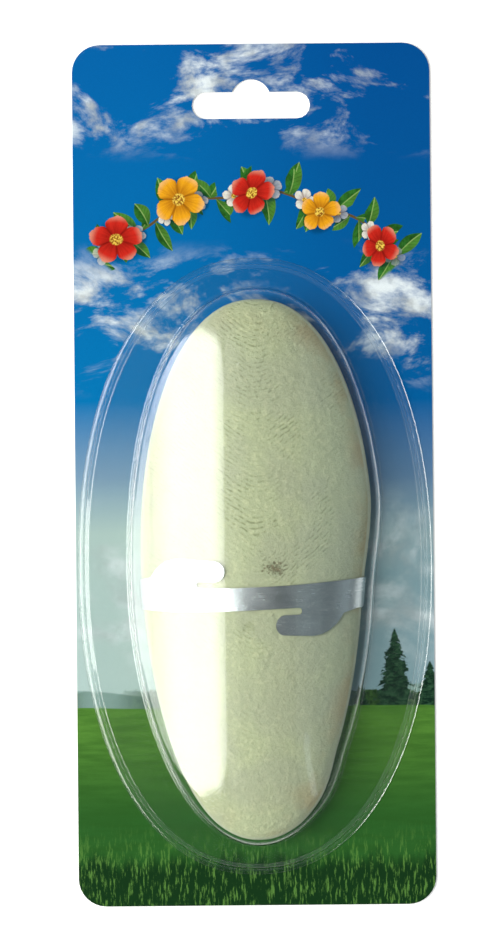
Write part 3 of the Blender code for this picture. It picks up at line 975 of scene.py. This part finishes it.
def build_blister(settings):
    rings = blister_rings()
    crown = [[BONE_CENTRE_X, BLISTER_CENTRE_Y, CROWN_TOP_Z]]
    faces = grid_faces(len(rings), OVAL_SEGMENTS)
    faces += fan_faces((len(rings) - 1) * OVAL_SEGMENTS, OVAL_SEGMENTS, len(rings) * OVAL_SEGMENTS)
    shell = add_piece("clear_blister", np.vstack([*rings, crown]), faces, blister_finish(settings))
    wall = shell.modifiers.new("wall", "SOLIDIFY")
    wall.thickness = settings.wall
    wall.offset = -1.0
    return shell


# Stage


def studio_light(name, left, down, brightness, tone, settings, fade=None):
    """An area light that spans two ranges of angles from straight up, seen from the blister.

    fade rounds its corners and gives how bright its left end is, the share of its width where it
    starts to dim to the right, and how dim it ends.
    """
    target = Vector((0.0, BLISTER_CENTRE_Y, LIGHT_TARGET_Z)) * MM
    light = bpy.data.lights.new(name, "AREA")
    distance = settings.softbox_distance
    light.shape = "RECTANGLE"
    spans = (math.radians(high - low) for low, high in (left, down))
    light.size, light.size_y = (2 * distance * math.tan(span / 2) for span in spans)
    light.energy = math.pi * light.size * light.size_y * brightness
    light.color = tone
    if fade:
        wiring = Wiring(light)
        across = wiring.node("ShaderNodeNewGeometry").outputs["Parametric"]
        parts = wiring.node("ShaderNodeSeparateXYZ", None, {"Vector": across}).outputs
        right, along = (Number(wiring, part) for part in parts[:2])
        corner_x = (abs(right - 0.5) - 0.38).most(0.0)
        corner_y = (abs(along - 0.5) - 0.38).most(0.0)
        strength = right.ramp(0.0, 0.35, fade[0], 1.0) * right.ramp(fade[1], 1.0, 1.0, fade[2])
        strength = strength * hypot(corner_x, corner_y).ramp(0.125, 0.105)
        glow = wiring.node("ShaderNodeEmission", None, {"Strength": strength}).outputs[0]
        wiring.node("ShaderNodeOutputLight", None, {"Surface": glow})
    lamp = bpy.data.objects.new(name, light)
    turn = Euler((math.radians(sum(down) / 2), math.radians(-sum(left) / 2), 0.0))
    lamp.rotation_euler = turn
    lamp.location = target + turn.to_matrix() @ Vector((0.0, 0.0, distance))
    bpy.context.scene.collection.objects.link(lamp)


def build_world():
    world = bpy.data.worlds.new("studio")
    bpy.context.scene.world = world
    wiring = Wiring(world)
    upward = wiring.node("ShaderNodeTexCoord").outputs["Generated"]
    height = wiring.number("ShaderNodeSeparateXYZ", None, {"Vector": upward}, 2)
    stops = (
        (0.0, (0.26, 0.29, 0.30)),
        (0.34, (0.24, 0.28, 0.30)),
        (0.71, (0.13, 0.16, 0.17)),
        (0.94, (0.09, 0.10, 0.10)),
        (1.0, (0.06, 0.06, 0.065)),
    )
    sockets = {"Color": wiring.tones(height, stops)}
    glow = wiring.node("ShaderNodeBackground", None, sockets).outputs[0]
    wiring.node("ShaderNodeOutputWorld", None, {"Surface": glow})


def build_floor(settings):
    material, wiring = new_finish("pale_table")
    vector = wiring.place()[0]
    tone = wiring.grain(vector, 90.0, 2.0).ramp(0.3, 0.7, 0.0, 0.03)
    sockets = {
        "Base Color": wiring.mix(tone, tuple(settings.floor), (0.85, 0.85, 0.86)),
        "Roughness": 0.9,
        "Emission Color": (1.0, 1.0, 1.0, 1.0),
        "Emission Strength": settings.floor_light,
    }
    wiring.principled(sockets)
    corners = ((-1, -1), (1, -1), (1, 1), (-1, 1))
    points = [(FLOOR_HALF * x, FLOOR_HALF * y, FLOOR_Z) for x, y in corners]
    floor = add_piece("table_top", points, [(0, 1, 2, 3)], material)


def build_camera(settings):
    camera = bpy.data.cameras.new("photo_camera")
    camera.sensor_width = SENSOR_WIDTH
    camera.lens = SENSOR_WIDTH * settings.camera_height / settings.frame_height
    camera.clip_start, camera.clip_end = 0.05, 20.0
    holder = bpy.data.objects.new("photo_camera", camera)
    holder.location = (*(MM * shift for shift in CAMERA_SHIFT), settings.camera_height)
    holder.rotation_euler.z = settings.roll
    bpy.context.scene.collection.objects.link(holder)
    bpy.context.scene.camera = holder


class DressCard(bpy.types.Operator):
    """Prints the front of the card and leaves its back as bare board"""

    bl_idname = "pack.dress_card"
    bl_label = "Print the card"

    def execute(self, context):
        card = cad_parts["backing_card"]
        card.data.materials.clear()
        card.data.materials.append(card_finish(context.scene.pack_card))
        return {"FINISHED"}


class CarveBone(bpy.types.Operator):
    """Makes the bone with its growth lines, pits and rim"""

    bl_idname = "pack.carve_bone"
    bl_label = "Carve the bone"

    def execute(self, context):
        bone = build_bone(context.scene.pack_bone)
        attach(bone, "root")
        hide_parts("cuttlebone")
        return {"FINISHED"}


class BendClip(bpy.types.Operator):
    """Cuts the clip's blank and bends it round the bone"""

    bl_idname = "pack.bend_clip"
    bl_label = "Bend the clip"

    def execute(self, context):
        clip = build_clip(context.scene.pack_clip)
        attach(clip, "root")
        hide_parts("clip")
        return {"FINISHED"}


class MouldBlister(bpy.types.Operator):
    """Moulds the clear film over the bone"""

    bl_idname = "pack.mould_blister"
    bl_label = "Mould the blister"

    def execute(self, context):
        blister = build_blister(context.scene.pack_blister)
        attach(blister, "root")
        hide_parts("blister")
        return {"FINISHED"}


class SetStage(bpy.types.Operator):
    """Sets up the table, the studio lights and the camera"""

    bl_idname = "pack.set_stage"
    bl_label = "Set the stage"

    def execute(self, context):
        settings = context.scene.pack_stage
        build_world()
        build_floor(settings)
        build_camera(settings)
        key = settings.softbox_brightness
        warm, cool = (1.0, 0.99, 0.95), (0.85, 0.97, 1.0)
        down = (-20.6, 21.8)
        studio_light("softbox", (12.6, 40.5), down, key, warm, settings, (0.6, 0.8, 0.5))
        studio_light("softbox_side", (40.5, 70.0), (-22.0, 22.0), key * 0.6, warm, settings)
        studio_light("softbox_low", (70.0, 88.0), (-5.5, 12.0), key * 0.55, warm, settings)
        studio_light("softbox_edge", (2.5, 12.6), down, key * 0.08, warm, settings, (1, 0, 0))
        studio_light("fill", (-42.0, -18.0), (-25.0, 25.0), key * 0.025, cool, settings)
        studio_light("low_fill", (-74.0, -66.0), (-25.0, 25.0), key * 0.03, cool, settings)
        studio_light("glint", (-24.3, -22.0), (16.5, 20.5), key * 0.17, cool, settings)
        return {"FINISHED"}


class PackPanel(bpy.types.Panel):
    """Lists the pack's settings and the steps that build it"""

    bl_idname = "VIEW3D_PT_cuttlebone_pack"
    bl_label = "Cuttlebone Pack"
    bl_space_type = "VIEW_3D"
    bl_region_type = "UI"
    bl_category = "Pack"

    def draw(self, context):
        for name, step in STEPS:
            box = self.layout.box()
            settings = getattr(context.scene, name)
            for key in settings.bl_rna.properties.keys():
                if key not in ("rna_type", "name"):
                    box.prop(settings, key)
            box.operator(step)


SETTINGS = {
    "pack_card": CardSettings,
    "pack_bone": BoneSettings,
    "pack_clip": ClipSettings,
    "pack_blister": BlisterSettings,
    "pack_stage": StageSettings,
}
STEPS = (
    ("pack_card", "pack.dress_card"),
    ("pack_bone", "pack.carve_bone"),
    ("pack_clip", "pack.bend_clip"),
    ("pack_blister", "pack.mould_blister"),
    ("pack_stage", "pack.set_stage"),
)
CLASSES = (*SETTINGS.values(), DressCard, CarveBone, BendClip, MouldBlister, SetStage, PackPanel)


def register():
    for item in CLASSES:
        bpy.utils.register_class(item)
    for name, group in SETTINGS.items():
        setattr(bpy.types.Scene, name, PointerProperty(type=group))


def unregister():
    for name in SETTINGS:
        delattr(bpy.types.Scene, name)
    for item in reversed(CLASSES):
        bpy.utils.unregister_class(item)


def main():
    register()
    bpy.context.scene.view_settings.view_transform = "Standard"
    bpy.ops.pack.dress_card()
    bpy.ops.pack.carve_bone()
    bpy.ops.pack.bend_clip()
    bpy.ops.pack.mould_blister()
    bpy.ops.pack.set_stage()


if __name__ == "__main__":
    main()
